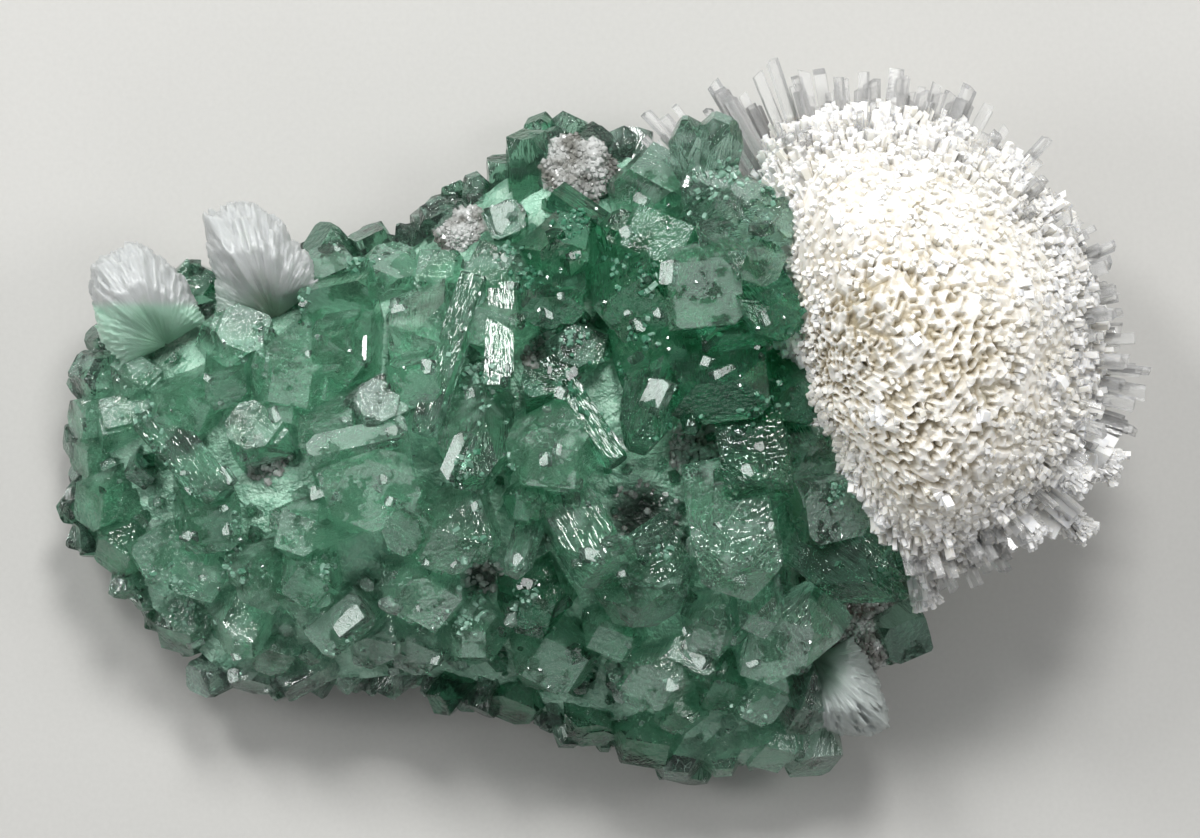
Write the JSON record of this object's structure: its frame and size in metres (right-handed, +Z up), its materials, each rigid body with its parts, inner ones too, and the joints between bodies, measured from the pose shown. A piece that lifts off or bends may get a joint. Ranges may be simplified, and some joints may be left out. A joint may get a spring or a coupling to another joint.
{
  "type": "apophyllite specimen with scolecite and stilbite on basalt",
  "caption": "Natural mineral specimen: glassy green block-shaped crystals crust a dark rock plate, beside a white spiny ball and white fans of blades; it lies on its flat sawn back",
  "frame": {"origin": "centre of the length and width, on the flat sawn back that the specimen lies on", "axes": "+X along the length towards the white ball, +Y along the width towards the edge with two white fans, +Z up out of the crystals"},
  "size_m": [0.15, 0.0996, 0.0576],
  "materials": {
    "basalt": "rough",
    "apophyllite": "glassy",
    "scolecite": "silky",
    "stilbite": "pearly"
  },
  "bodies": {
    "root": {"basalt_matrix": "basalt", "apophyllite_crust": "apophyllite", "scolecite_ball": "scolecite", "stilbite_fan_left": "stilbite", "stilbite_fan_upper": "stilbite", "stilbite_fan_lower": "stilbite"}
  },
  "joints": []
}
